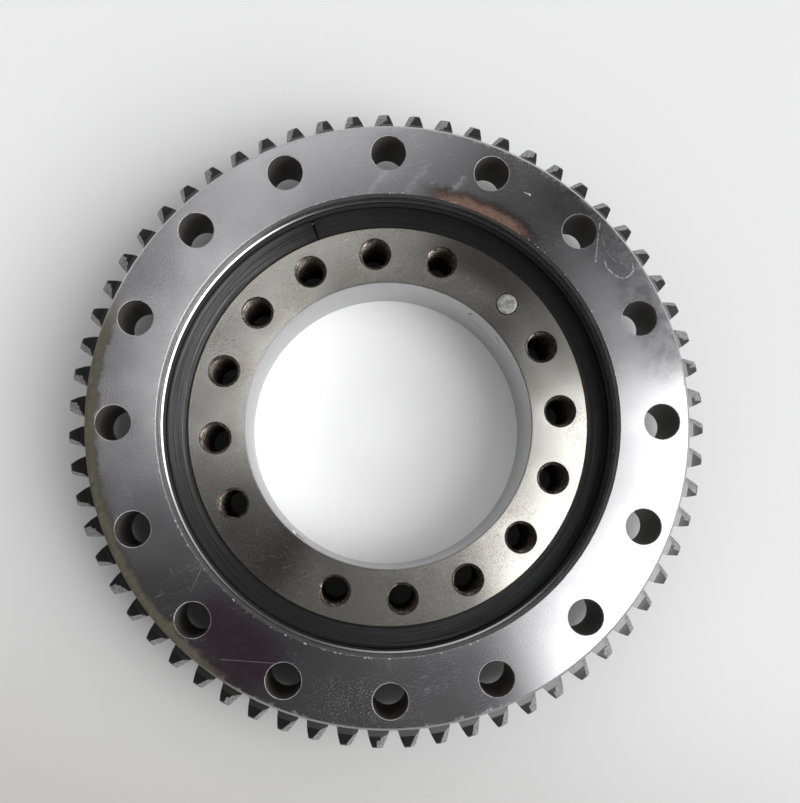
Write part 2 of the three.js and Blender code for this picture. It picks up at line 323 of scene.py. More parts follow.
def outer_ring():
    tan30, tan60 = math.tan(math.radians(30)), math.tan(math.radians(60))
    bevel_r, blank_r, step_drop = 160.6, TIP_R + 2, 0.45
    bevel_z = GEAR_TOP - (bevel_r - TOOTH_CHAMFER_R) * tan30
    corners = [
        (MOUTH_EDGE_R, OUTER_TOP, 0.2),
        (RIM_WALL_R, OUTER_TOP - 1.4, 0.25),
        (RIM_WALL_R, RIM_STEP_Z, 0.1),
        (OUTER_BORE_R, RIM_STEP_Z - step_drop, 0.1),
        *groove(1),
        (OUTER_BORE_R, OUTER_BOTTOM + 2, 0.2),
        (OUTER_BORE_R + 2, OUTER_BOTTOM, 0.2),
        (TIP_R - 0.6, OUTER_BOTTOM, 0),
        (blank_r, OUTER_BOTTOM + 2.6, 0),
        (blank_r, bevel_z - (blank_r - bevel_r) * tan60, 0),
        (bevel_r, bevel_z, 0.3),
        (TOOTH_CHAMFER_R, GEAR_TOP, 0.4),
        (FLANGE_R, GEAR_TOP, 0.5),
        (FLANGE_R, OUTER_TOP - 1.2, 0.2),
        (FLANGE_R - 1.2, OUTER_TOP, 0.2),
    ]
    ring = lathe("outer_ring_geared", rounded(corners), TEETH * 8)
    boolean(ring, prism("teeth", gear_outline(), OUTER_BOTTOM - 2, OUTER_TOP + 2), "INTERSECT")
    boolean(ring, ground_facets(), "DIFFERENCE")
    hole = [
        (0, OUTER_BOTTOM - OVER),
        (FIXING_R + HOLE_MOUTH + OVER, OUTER_BOTTOM - OVER),
        (FIXING_R, OUTER_BOTTOM + HOLE_MOUTH),
        (FIXING_R, OUTER_TOP - HOLE_MOUTH),
        (FIXING_R + HOLE_MOUTH + OVER, OUTER_TOP + OVER),
        (0, OUTER_TOP + OVER),
    ]
    holes = []
    for i in range(FIXING_COUNT):
        x, y = polar(FIXING_PITCH_R, FIXING_FIRST - i * 360 / FIXING_COUNT)
        points, faces = spun(hole, segments=72)
        holes.append((points + (x, y, 0), faces))
    return cut(ring, *holes)


# -------------------- inner ring

def tapped_angles():
    return [
        TAPPED_FIRST - slot * 360 / TAPPED_SLOTS
        for slot in range(TAPPED_SLOTS)
        if slot not in (PIN_SLOT, GREASE_SLOT)
    ]


def thread_radius(turn, level):
    """Radius of the threaded wall at a share of a turn and a height, opened out by the mouths."""
    phase = (level / THREAD_PITCH - turn) % 1
    crest, root = 0.25, 0.125
    slope = (1 - crest - root) / 2
    if phase < crest:
        share = 0
    elif phase < crest + slope:
        share = (phase - crest) / slope
    elif phase < crest + slope + root:
        share = 1
    else:
        share = (1 - phase) / slope
    thread = THREAD_MINOR_R + share * (THREAD_MAJOR_R - THREAD_MINOR_R)
    top_mouth = MOUTH_R - (INNER_TOP - level)
    bottom_mouth = MOUTH_R - (level - INNER_BOTTOM)
    return max(thread, top_mouth, bottom_mouth)


def threaded_hole(segments=36, step=0.3):
    low, high = INNER_BOTTOM - 1.2, INNER_TOP + 1.2
    levels = np.linspace(low, high, round((high - low) / step) + 1)
    points = []
    for level in levels:
        for i in range(segments):
            radius = thread_radius(i / segments, level)
            angle = 2 * math.pi * i / segments
            points.append((radius * math.cos(angle), radius * math.sin(angle), level))
    faces = grid_faces(len(levels), segments, wrap_rows=False)
    top = (len(levels) - 1) * segments
    faces += [tuple(range(segments)), tuple(reversed(range(top, top + segments)))]
    return np.array(points), faces


def radial_place(degrees):
    """Turns local +Z to point away from the axis, at raceway height."""
    turn = Matrix.Rotation(math.radians(degrees), 4, "Z") @ Matrix.Rotation(math.radians(90), 4, "Y")
    return Matrix.Translation((0, 0, RACE_Z)) @ turn


def pin_place():
    return Matrix.Translation((*polar(PIN_PITCH_R, PIN_ANGLE), 0))


def inner_ring():
    corners = [
        (BORE_R + 0.5, INNER_TOP, 0.12),
        (LAND_R - 0.3, INNER_TOP, 0.1),
        (LAND_R, INNER_TOP - 0.3, 0.1),
        (LAND_R, SEAL_GROOVE_TOP, 0.1),
        (LAND_R - 2.2, SEAL_GROOVE_TOP, 0.1),
        (LAND_R - 2.2, SEAL_GROOVE_BOTTOM, 0.1),
        (LAND_R, SEAL_GROOVE_BOTTOM, 0.1),
        (LAND_R, SEAL_SEAT, 0.2),
        (SHOULDER_R, SEAL_SEAT, 0.3),
        *groove(-1),
        (SHOULDER_R, FOOT_GROOVE_TOP, 0.1),
        (SHOULDER_R - 2.4, FOOT_GROOVE_TOP, 0.1),
        (SHOULDER_R - 2.4, FOOT_GROOVE_BOTTOM, 0.1),
        (SHOULDER_R, FOOT_GROOVE_BOTTOM, 0.1),
        (SHOULDER_R, INNER_BOTTOM + 1, 0.2),
        (SHOULDER_R - 1, INNER_BOTTOM, 0.2),
        (BORE_R + 0.5, INNER_BOTTOM, 0.12),
        (BORE_R, INNER_BOTTOM + 0.5, 0.12),
        (BORE_R, INNER_TOP - 0.5, 0.12),
    ]
    ring = lathe("inner_ring_tapped", rounded(corners), RING_STEPS)
    tools = []
    thread_points, thread_faces = threaded_hole()
    for degrees in tapped_angles():
        x, y = polar(TAPPED_PITCH_R, degrees)
        cos, sin = polar(1, degrees * 7)
        spin = np.array([[cos, sin, 0], [-sin, cos, 0], [0, 0, 1]])
        tools.append((thread_points @ spin + (x, y, 0), thread_faces))
    cut(ring, *tools)
    mouth = 0.35
    wide = PLUG_HOLE_R + mouth + OVER
    plug_hole = [(0, 60), (wide, 60), (wide, BORE_R - OVER), (PLUG_HOLE_R, BORE_R + mouth)]
    plug_hole += [(PLUG_HOLE_R, PLUG_HOLE_END), (0, PLUG_HOLE_END)]
    grease_hole = [(0, 60), (GREASE_HOLE_R, 60), (GREASE_HOLE_R, BORE_R + 10.3)]
    grease_hole += [(GREASE_DRILL_R, BORE_R + 11.5), (GREASE_DRILL_R, 103), (0, 103)]
    pin_hole = [(0, PIN_BOTTOM - 1), (PIN_TIP_R + 0.16, PIN_BOTTOM - 1), (PIN_R + 0.2, INNER_TOP - 0.7)]
    pin_hole += [(PIN_R + 0.7, INNER_TOP - 0.05), (PIN_R + 0.8, INNER_TOP + 1), (0, INNER_TOP + 1)]
    cut(ring, placed(plug_hole, segments=72, place=radial_place(PIN_ANGLE)))
    cut(ring, placed(grease_hole, segments=48, place=radial_place(GREASE_ANGLE)))
    return cut(ring, placed(pin_hole, segments=64, place=pin_place()))


# -------------------- small pieces

def load_plug():
    """A round plug whose ends follow the bore and the raceway, cross-drilled for the taper pin."""
    start, end = BORE_R - 4, 108
    blank = [(0, start), (PLUG_R, start), (PLUG_R, end), (0, end)]
    plug = turned_part("load_plug_fitted", blank, segments=96, place=radial_place(PIN_ANGLE))
    bore = [(0, 0), (BORE_R + 0.1, 0), (BORE_R + 0.1, 100), (0, 100)]
    cut(plug, spun(bore, RING_STEPS))
    ball_path = []
    for angle in np.linspace(0, 2 * math.pi, 48, endpoint=False):
        ball_path.append((RACE_R + BALL_PATH_R * math.cos(angle), RACE_Z + BALL_PATH_R * math.sin(angle)))
    boolean(plug, lathe("ball_path", ball_path, RING_STEPS), "DIFFERENCE")
    cross_hole = [(0, 10), (PIN_TIP_R + 0.16, 10), (PIN_R + 0.2, INNER_TOP), (0, INNER_TOP)]
    return cut(plug, placed(cross_hole, segments=64, place=pin_place()))


def taper_pin():
    top = INNER_TOP - 0.15
    profile = [(0, PIN_BOTTOM), (PIN_TIP_R - 0.8, PIN_BOTTOM), (PIN_TIP_R, PIN_BOTTOM + 0.8)]
    profile += [(PIN_R, top - 0.35), (PIN_R - 0.12, top - 0.1), (PIN_R - 0.4, top)]
    profile += [(3.4, top + 0.03), (0, top)]
    return turned_part("taper_pin_ground", profile, segments=72, place=pin_place())


def grease_plug():
    """A short screw plug with a hexagon socket, its thread drawn as fine ridges."""
    end_r, crest_r, root_r = 4.3, 4.9, 4.45
    front, back, chamfer, ridges = BORE_R + 0.5, BORE_R + 9.8, 0.6, 8
    profile = [(0, front), (end_r, front), (crest_r, front + chamfer)]
    for ridge in range(ridges):
        start = front + chamfer + ridge
        profile += [(crest_r, start + 0.1), (root_r, start + 0.5), (crest_r, start + 0.9)]
    profile += [(end_r, back), (0, back)]
    plug = turned_part("grease_plug_screw", profile, segments=60, place=radial_place(GREASE_ANGLE))
    socket_r, depth = 2.9, BORE_R + 4
    socket = [(0, BORE_R - OVER), (socket_r, BORE_R - OVER), (socket_r, depth), (0, depth + 0.8)]
    return cut(plug, placed(socket, segments=6, place=radial_place(GREASE_ANGLE)))


def seal_strip(name, corners, segments, cut_at, cut_width, slip):
    """A moulded strip bent round the axis and cut once; its ends meet with a small slip in height.

    The cut opens a little towards the rim, and the strip waves slightly up and down.
    """
    section = np.array(rounded(corners))
    gap = math.radians(cut_width)
    opening = math.radians(0.012)
    turns = math.radians(cut_at) + np.linspace(gap / 2, 2 * math.pi - gap / 2, segments)
    points = []
    for i, turn in enumerate(turns):
        degrees_from_cut = min(i, segments - 1 - i) / segments * 360
        side = 1 if i < segments / 2 else -1
        lift = side * slip * math.exp(-degrees_from_cut / 2.5)
        lift += 0.05 * math.sin(turn * 5 + 0.6) + 0.03 * math.sin(turn * 11)
        lean = side * opening * math.exp(-degrees_from_cut)
        for radius, level in section:
            angle = turn + lean * (radius - LAND_R)
            points.append((radius * math.cos(angle), radius * math.sin(angle), level + lift))
    count = len(section)
    faces = grid_faces(segments, count, wrap_rows=False)
    faces += [tuple(range(count)), tuple(reversed(range((segments - 1) * count, segments * count)))]
    return make_object(name, points, faces)


def upper_seal():
    corners = [
        (LAND_R + 0.25, 56.35, 0.1),
        (LAND_R + 1.0, 56.0, 0.25),
        (LAND_R + 2.2, 56.2, 0.3),
        (104.6, 56.65, 0.5),
        (107.4, 57.1, 0.5),
        (109.6, 57.45, 0.3),
        (110.5, 57.72, 0.25),
        (111.55, 57.75, 0.2),
        (111.75, 57.2, 0.15),
        (110.6, 55.9, 0.4),
        (108.5, 54.5, 0.4),
        (LAND_R + 0.25, 54.35, 0.1),
        (LAND_R + 0.25, 54.8, 0.08),
        (LAND_R - 1.9, 54.8, 0.15),
        (LAND_R - 1.9, 56.35, 0.15),
    ]
    return seal_strip("upper_seal_strip", corners, segments=720, cut_at=110.6, cut_width=0.34, slip=0.16)


def lower_seal():
    corners = [
        (SHOULDER_R - 2.1, 25.2, 0.15),
        (SHOULDER_R + 1.0, 25.2, 0.6),
        (SHOULDER_R + 2.0, 28.4, 0.3),
        (SHOULDER_R + 2.4, 29.85, 0.15),
        (SHOULDER_R + 2.9, 29.75, 0.15),
        (SHOULDER_R + 3.35, 29.1, 0.2),
        (SHOULDER_R + 3.1, 27.9, 0.4),
        (SHOULDER_R + 2.3, 21.8, 0.5),
        (SHOULDER_R - 2.1, 21.8, 0.15),
    ]
    return seal_strip("lower_seal_lip", corners, segments=480, cut_at=-60, cut_width=0.15, slip=0.05)


def ball_mesh():
    """A sphere from a cube's evenly divided faces, so that it has no poles."""
    steps = 14
    points, faces, seen = [], [], {}

    def corner(direction):
        key = tuple(round(c, 6) for c in direction)
        if key not in seen:
            seen[key] = len(points)
            points.append(tuple(Vector(direction).normalized() * (BALL_R - 0.02)))
        return seen[key]

    ticks = [math.tan(math.pi / 4 * (2 * i / steps - 1)) for i in range(steps + 1)]
    for axis in range(3):
        for sign in (-1, 1):
            for i in range(steps):
                for j in range(steps):
                    quad = []
                    for a, b in ((i, j), (i + 1, j), (i + 1, j + 1), (i, j + 1)):
                        direction = [0, 0, 0]
                        direction[axis] = sign
                        direction[(axis + 1) % 3] = ticks[a]
                        direction[(axis + 2) % 3] = ticks[b] * sign
                        quad.append(corner(direction))
                    faces.append(tuple(quad))
    return np.array(points), faces


def spacer_profile():
    """A waisted roll with hollow seats, as (radius, height) points from end to end."""
    seat = [(0, 3.05), (1.6, 3.1), (3.2, 3.35), (4.8, 3.9), (6.2, 4.7)]
    rim = [(6.7, 5.1), (7.0, 5.15), (7.15, 4.95)]
    waist = [(7.15, 3.2), (6.75, 2.4), (6.65, 0)]
    upper = seat + rim + waist
    return [(radius, -height) for radius, height in upper] + upper[-2::-1]


# -------------------- materials

class Shader:
    """The material of one slot, with short calls for its nodes. Any input may be a number or a socket."""

    def __init__(self, name):
        self.slot = name
        self.material = bpy.data.materials.new(name)
        self.material.use_nodes = True
        self.tree = self.material.node_tree
        self.surface = self.tree.nodes["Principled BSDF"]
        place = self.node("ShaderNodeTexCoord").outputs["Object"]
        self.place = self.scale(place, 1 / MM)
        split = self.node("ShaderNodeSeparateXYZ", self.place)
        self.x, self.y, self.z = split.outputs
        squares = self.math("ADD", self.times(self.x, self.x), self.times(self.y, self.y))
        self.radius = self.math("SQRT", squares)
        self.angle = self.times(self.math("ARCTAN2", self.y, self.x), 180 / math.pi)

    def node(self, kind, *inputs, **settings):
        made = self.tree.nodes.new(kind)
        for key, value in settings.items():
            setattr(made, key, value)
        for socket, value in zip(made.inputs, inputs):
            self.feed(socket, value)
        return made

    def feed(self, socket, value):
        if isinstance(value, bpy.types.NodeSocket):
            self.tree.links.new(value, socket)
        elif value is not None:
            socket.default_value = value

    def math(self, operation, a, b=None, clamp=False):
        return self.node("ShaderNodeMath", a, b, operation=operation, use_clamp=clamp).outputs[0]

    def times(self, value, *others):
        """The product: as a mask, where all the masks are."""
        for other in others:
            value = self.math("MULTIPLY", value, other)
        return value

    def most(self, value, *others):
        """The greatest: as a mask, where any of the masks is."""
        for other in others:
            value = self.math("MAXIMUM", value, other)
        return value

    def shifted(self, value, noise, reach):
        """A value moved to and fro by a noise, over a whole span of reach."""
        return self.math("ADD", value, self.times(self.math("SUBTRACT", noise, 0.5), reach))

    def scale(self, vector, factor):
        made = self.node("ShaderNodeVectorMath", vector, operation="SCALE")
        self.feed(made.inputs["Scale"], factor)
        return made.outputs["Vector"]

    def vector(self, x, y, z):
        return self.node("ShaderNodeCombineXYZ", x, y, z).outputs[0]

    def step(self, value, low, high):
        """0 below low and 1 above high, with a soft change between; low may be above high."""
        made = self.node("ShaderNodeMapRange", value, low, high, 0, 1, interpolation_type="SMOOTHSTEP")
        return made.outputs[0]

    def band(self, value, low, high, soft):
        """1 between low and high, with a soft change at both ends."""
        rise = self.step(value, low - soft, low + soft)
        fall = self.step(value, high + soft, high - soft)
        return self.times(rise, fall)

    def noise(self, vector, scale, detail=3, rough=0.55, distortion=0):
        made = self.node("ShaderNodeTexNoise", noise_dimensions="3D")
        for name, value in (("Vector", vector), ("Scale", scale), ("Detail", detail), ("Roughness", rough),
                            ("Distortion", distortion)):
            self.feed(made.inputs[name], value)
        return made.outputs["Fac"]

    def mix(self, share, a, b):
        made = self.node("ShaderNodeMix", data_type="RGBA")
        self.feed(made.inputs["Factor"], share)
        self.feed(made.inputs["A"], self.colour(a))
        self.feed(made.inputs["B"], self.colour(b))
        return made.outputs["Result"]

    @staticmethod
    def colour(value):
        return (*value, 1) if isinstance(value, tuple) and len(value) == 3 else value

    def blend(self, share, a, b):
        """A number between a and b."""
        made = self.node("ShaderNodeMix", data_type="FLOAT")
        for socket, value in zip((made.inputs["Factor"], made.inputs["A"], made.inputs["B"]), (share, a, b)):
            self.feed(socket, value)
        return made.outputs["Result"]

    def rings(self, per_mm, around):
        """Noise drawn out along the turning direction."""
        across = self.times(self.math("ADD", self.radius, self.z), per_mm)
        safe = self.math("DIVIDE", around, self.radius)
        return self.vector(across, self.times(self.x, safe), self.times(self.y, safe))

    def scratches(self, scale, turn, width, patch_scale, share):
        """Hair lines: thin level curves of a stretched noise, kept only in patches."""
        cos, sin = math.cos(turn), math.sin(turn)
        along = self.math("ADD", self.times(self.x, cos), self.times(self.y, sin))
        over = self.math("SUBTRACT", self.times(self.y, cos), self.times(self.x, sin))
        stretched = self.vector(self.times(along, 0.12), over, self.z)
        value = self.noise(stretched, scale, 1)
        line = self.step(self.math("ABSOLUTE", self.math("SUBTRACT", value, 0.5)), width, width * 0.3)
        patch = self.step(self.noise(self.place, patch_scale, 1), share, share - 0.06)
        return self.times(line, self.math("SUBTRACT", 1, patch))

    def turned_tangent(self):
        """The direction across the tool marks, in which turned steel spreads light."""
        round_about = self.vector(self.times(self.y, -1), self.x, 0)
        world = self.node("ShaderNodeVectorTransform", round_about, vector_type="VECTOR",
                          convert_from="OBJECT", convert_to="WORLD").outputs[0]
        normal = self.node("ShaderNodeNewGeometry").outputs["True Normal"]
        cross = self.node("ShaderNodeVectorMath", normal, world, operation="CROSS_PRODUCT").outputs[0]
        return self.node("ShaderNodeVectorMath", cross, operation="NORMALIZE").outputs[0]

    def upright(self):
        """Share of the surface normal along Z, and its share along the turning direction."""
        normal = self.node("ShaderNodeTexCoord").outputs["Normal"]
        nx, ny, nz = self.node("ShaderNodeSeparateXYZ", normal).outputs
        along = self.math("SUBTRACT", self.times(self.x, ny), self.times(self.y, nx))
        return nz, self.math("DIVIDE", along, self.radius)

    def stroke(self, path, width, soft=0.5):
        """1 within a width of a path of (x, y) points, fading over the soft share of that width.

        A soft share above 1 makes the middle of the stroke faint too.
        """
        flat = self.vector(self.x, self.y, 0)
        total = 0
        for (ax, ay), (bx, by) in zip(path, path[1:]):
            run = (bx - ax, by - ay, 0)
            arm = self.node("ShaderNodeVectorMath", flat, (ax, ay, 0), operation="SUBTRACT").outputs[0]
            dot = self.node("ShaderNodeVectorMath", arm, run, operation="DOT_PRODUCT").outputs["Value"]
            share = self.math("DIVIDE", dot, run[0] ** 2 + run[1] ** 2, clamp=True)
            foot = self.scale(self.vector(*run), share)
            away = self.node("ShaderNodeVectorMath", arm, foot, operation="DISTANCE").outputs["Value"]
            total = self.most(total, self.step(away, width, width * (1 - soft)))
        return total

    def bump(self, height, strength, distance):
        made = self.node("ShaderNodeBump")
        for name, value in (("Strength", strength), ("Distance", distance), ("Height", height)):
            self.feed(made.inputs[name], value)
        return made.outputs[0]

    def stain(self, mask, colour, rough):
        """Discolours the metal under a mask and keeps its tool marks; also lays painted shade where a mask
        calls for it.
        """
        self.base = self.mix(mask, self.base, colour)
        self.rough = self.blend(mask, self.rough, rough)

    def wear(self, mask, colour, rough):
        """Rubs out the tool marks under a mask: the surface there spreads light alike in all directions.
        Also lays painted highlights and painted shade.
        """
        self.stain(mask, colour, rough)
        self.aniso = self.times(self.aniso, self.math("SUBTRACT", 1, mask))

    def dull(self, mask, colour, rough):
        """A matt deposit or a burnished edge that scatters light from every side; also lays painted shade
        and painted light.
        """
        self.wear(mask, colour, rough)
        self.metal = self.blend(mask, self.metal, 0.3)

    def set(self, **inputs):
        for name, value in inputs.items():
            self.feed(self.surface.inputs[name.replace("_", " ")], self.colour(value))


def turned_steel(name, tone, tint):
    """Bare turned steel with tool marks, smudges, fine specks and hair scratches."""
    s = Shader(name)
    cloud = s.noise(s.place, 0.035, 3, 0.6)
    grain = s.noise(s.rings(1.7, 3), 1, 3, 0.7)
    speck = s.noise(s.place, 1.3, 2, 0.7)
    lines = s.scratches(0.5, 0.4, 0.0035, 0.02, 0.58)
    lines = s.most(lines, s.scratches(0.4, 1.9, 0.003, 0.03, 0.6))
    lines = s.most(lines, s.scratches(0.6, 2.9, 0.003, 0.025, 0.6))
    light, dark = (tuple(tone * share * c for c in tint) for share in (1.08, 0.90))
    s.base = s.mix(cloud, dark, light)
    s.base = s.mix(s.times(grain, 0.22), s.base, tuple(c * 0.75 for c in dark))
    s.base = s.mix(s.times(s.step(speck, 0.60, 0.78), 0.2), s.base, tuple(c * 0.6 for c in dark))
    s.rough = s.math("ADD", 0.205, s.times(cloud, 0.06))
    s.rough = s.math("ADD", s.rough, s.times(grain, 0.02))
    s.height = s.times(grain, 0.2)
    s.metal = 1
    s.aniso = 0.95
    s.wear(s.times(lines, 0.35), (0.8, 0.8, 0.8), 0.45)
    return s


def finish_steel(s):
    s.set(Base_Color=s.base, Roughness=s.rough, Metallic=s.metal, Anisotropic=s.aniso,
          Tangent=s.turned_tangent(), Normal=s.bump(s.height, 0.1, 0.00005))
    return s


def outer_steel():
    s = turned_steel("outer_ring_steel", 0.56, (1, 0.99, 1.02))
    s.face = s.step(s.z, OUTER_TOP - 0.5, OUTER_TOP - 0.1)
    share = s.math("FRACT", s.math("ADD", s.math("DIVIDE", s.angle, 360), 1))
    s.turn = s.times(share, 360)
    s.ragged = s.noise(s.place, 0.16, 4, 0.65)
    s.torn = s.noise(s.vector(s.times(s.radius, 0.12), s.angle, 0), 0.8, 3, 0.7)
    s.fine = s.noise(s.place, 0.6, 3, 0.7)
    s.dust = s.noise(s.place, 2.4, 2, 0.6)
    s.nz, s.sideways = s.upright()
    outside = s.step(s.radius, FLANGE_R + 1, FLANGE_R + 1.4)
    s.gear = s.times(outside, s.step(s.z, GEAR_TOP + 0.4, GEAR_TOP + 0.1))
    outer_edges(s)
    rim_ledge(s)
    olive_deposit(s)
    rust(s)
    tints_chalk_and_painted_shade(s)
    fine_marks(s)
    gear_finish(s)
    return finish_steel(s)


def outer_edges(s):
    """Worn edges, brighter ones round the bolt holes, and the holes' dull brownish walls, darkened as
    painted shade.
    """
    clear_of_gear = s.math("SUBTRACT", 1, s.gear)
    worn = s.times(s.band(s.nz, 0.28, 0.97, 0.03), clear_of_gear, s.step(s.fine, 0.2, 0.6))
    s.wear(worn, (0.56, 0.56, 0.56), 0.32)
    near_holes = s.band(s.radius, FIXING_PITCH_R - 11, FIXING_PITCH_R + 12, 0.5)
    s.dull(s.times(worn, near_holes), (0.6, 0.6, 0.6), 0.4)
    # Painted shade: the bolt holes' walls are made dark, standing in for the shade inside the deep holes.
    walls = s.times(s.step(s.math("ABSOLUTE", s.nz), 0.3, 0.2), near_holes)
    s.dull(walls, s.mix(s.fine, (0.08, 0.076, 0.068), (0.17, 0.16, 0.145)), 0.5)


def rim_ledge(s):
    """The ledge inside the rim, with a painted highlight on the left, and painted shade on the dark wall
    below it.
    """
    level = s.band(s.z, RIM_STEP_Z - 0.75, RIM_STEP_Z + 0.15, 0.1)
    ledge = s.times(s.step(s.radius, RIM_WALL_R + 0.1, RIM_WALL_R), level)
    # Painted highlight: the ledge is made bright only over one range of turn.
    lit = s.times(s.band(s.turn, 112, 188, 12), s.step(s.radius, RIM_WALL_R - 0.7, RIM_WALL_R - 0.5))
    s.wear(ledge, s.mix(lit, (0.42, 0.42, 0.42), (0.95, 0.95, 0.95)), 0.22)
    # Painted shade: the wall under the ledge is made dark, and matt further down.
    below = s.step(s.z, RIM_STEP_Z - 0.7, RIM_STEP_Z - 0.95)
    below = s.times(below, s.step(s.radius, RIM_WALL_R - 0.1, RIM_WALL_R - 0.5))
    s.wear(below, (0.05, 0.05, 0.05), 0.5)
    s.dull(s.times(below, s.step(s.z, 66.3, 63.5)), (0.06, 0.06, 0.06), 0.6)


def olive_deposit(s):
    """Olive and brown deposit along the outer edge, ragged on its inner side, over a wider stain."""
    top = s.step(s.z, OUTER_TOP - 1.5, OUTER_TOP - 1.3)
    rim = s.shifted(s.shifted(s.radius, s.ragged, 7), s.torn, 4)
    under = s.times(s.step(rim, 141.5, 144.5), s.band(s.turn, 158, 240, 6), top)
    s.stain(under, (0.26, 0.245, 0.19), 0.25)
    olive = s.mix(s.step(s.torn, 0.35, 0.65), (0.034, 0.031, 0.012), (0.07, 0.058, 0.036))
    olive = s.mix(s.times(s.step(s.fine, 0.5, 0.7), 0.5), olive, (0.12, 0.108, 0.08))
    band = s.times(s.step(rim, 142.5, 147.5), s.band(s.turn, 160, 232, 9), top)
    s.dull(s.times(band, 0.76), olive, 0.42)
    cracks = s.times(s.step(s.torn, 0.66, 0.70), s.band(s.turn, 155, 205, 4), s.step(rim, 143.5, 145))
    s.dull(s.times(cracks, top, 0.7), (0.07, 0.055, 0.035), 0.5)
    scuffs = s.times(s.step(rim, 146.5, 149.5), s.step(s.ragged, 0.45, 0.7), s.face, 0.4)
    s.dull(scuffs, (0.24, 0.22, 0.20), 0.45)


def rust(s):
    """Rust along the bore edge, over a wider and darker stain."""
    hug = s.shifted(s.shifted(s.radius, s.ragged, 7), s.fine, 5)
    under = s.times(s.step(hug, 123, 118.5), s.band(s.turn, 52, 80, 4), s.face)
    s.stain(under, (0.24, 0.16, 0.13), 0.25)
    spots = s.times(s.step(hug, 120.5, 115.5), s.band(s.turn, 56, 76, 5), s.face)
    ruddy = s.mix(s.step(s.fine, 0.35, 0.6), (0.08, 0.034, 0.021), (0.165, 0.095, 0.068))
    s.dull(s.times(spots, s.blend(s.step(s.dust, 0.4, 0.6), 0.45, 0.85)), ruddy, 0.8)


def tints_chalk_and_painted_shade(s):
    """Purple heat tint, a grey painted shade over the right of the face, and chalk smudges."""
    patch = s.stroke([(-82, -99), (-66, -114)], 21, 0.7)
    s.stain(s.times(patch, s.face, s.step(s.ragged, 0.15, 0.55), 0.75), (0.52, 0.30, 0.46), 0.22)
    # Painted shade: the face is greyed in soft patches over a fixed range of turn.
    painted_shade = s.times(s.band(s.turn, 9, 56, 7), s.step(s.radius, 118, 142), s.face)
    s.stain(s.times(painted_shade, s.blend(s.step(s.ragged, 0.35, 0.6), 0.85, 0.6)), (0.15, 0.15, 0.155), 0.24)
    chalk = s.most(
        s.stroke([(-2, 125), (-10, 115)], 3.4, 1.7),
        s.stroke([(17, 126), (9, 116)], 3.4, 1.7),
        s.stroke([(37, 122), (31, 116)], 3, 1.5),
    )
    s.dull(s.times(chalk, s.face, s.step(s.fine, 0.3, 0.6), 0.32), (0.42, 0.42, 0.43), 0.45)


def fine_marks(s):
    """A looping scratch beside one hole, a nick, two straight scratches, bright dust, nicks in the rim."""
    loops = s.stroke([(107.5, 81), (108.5, 77.5), (111.5, 74.5), (114.5, 72.5), (117.5, 72), (120, 73.5),
                      (122, 76), (121.5, 79.5)], 0.34)
    thin = s.stroke([(106, 94), (108, 87), (110, 83.5), (112.5, 81), (117.5, 79)], 0.2)
    near = s.stroke([(105.5, 100), (104.5, 94), (104, 90), (103, 80.5)], 0.5)
    scrawl = s.most(s.times(loops, 0.5), s.times(thin, 0.3), s.times(near, 0.35))
    scrawl = s.times(scrawl, s.step(s.fine, 0.3, 0.62))
    nick = s.times(s.stroke([(67.5, 115.5), (69.5, 114.5)], 0.22), 0.6)
    nick = s.most(nick, s.stroke([(70, 114.5), (70.5, 114)], 0.42))
    hair = s.most(s.stroke([(-81.5, -114.5), (-55.5, -116.5)], 0.2),
                  s.stroke([(-96.5, -83), (-91, -70.5)], 0.2))
    spray = s.times(s.step(s.dust, 0.56, 0.72), s.band(s.turn, 256, 274, 12))
    spray = s.times(spray, s.band(s.radius, 124, 148, 6))
    rim_dust = s.times(s.step(s.dust, 0.62, 0.74), s.band(s.turn, 35, 72, 8))
    rim_dust = s.times(rim_dust, s.step(s.radius, 141, 147))
    dust = s.times(s.most(spray, rim_dust), 0.5)
    rim_nicks = s.times(s.step(s.noise(s.place, 0.9, 1), 0.64, 0.7), s.band(s.radius, 114, 115.1, 0.3))
    marks = s.most(scrawl, nick, s.times(hair, 0.2), dust, s.times(rim_nicks, 0.7))
    s.dull(s.times(marks, s.face), (0.62, 0.62, 0.63), 0.4)


def gear_finish(s):
    """The gear: dark land above the roots, cones on the tooth ends, milled flanks, hand-ground corners."""
    grit = s.noise(s.place, 1.3, 4, 0.75)
    s.wear(s.times(s.gear, s.step(s.nz, 0.96, 0.985)), (0.14, 0.14, 0.14), 0.3)
    tipped = s.times(s.gear, s.step(s.nz, 0.985, 0.96))
    s.wear(tipped, s.mix(grit, (0.12, 0.12, 0.12), (0.30, 0.30, 0.30)), 0.3)
    milled = s.times(s.gear, s.step(s.math("ABSOLUTE", s.nz), 0.62, 0.5))
    s.wear(milled, s.mix(s.ragged, (0.10, 0.095, 0.09), (0.22, 0.21, 0.20)), 0.42)
    ground = s.times(tipped, s.step(s.math("ABSOLUTE", s.sideways), 0.06, 0.10), s.step(s.nz, 0.4, 0.5))
    s.dull(ground, s.mix(s.step(grit, 0.3, 0.7), (0.05, 0.05, 0.05), (0.44, 0.44, 0.44)), 0.45)
    s.height = s.math("ADD", s.height, s.times(ground, grit, 8))


def inner_steel():
    s = turned_steel("inner_ring_steel", 0.55, (1.015, 1, 0.935))
    s.face = s.step(s.z, INNER_TOP - 0.5, INNER_TOP - 0.1)
    s.wave = s.noise(s.place, 0.12, 4, 0.6)
    s.fine = s.noise(s.place, 0.9, 4, 0.75)
    inner_tarnish(s)
    inner_shades(s)
    inner_edges(s)
    return finish_steel(s)


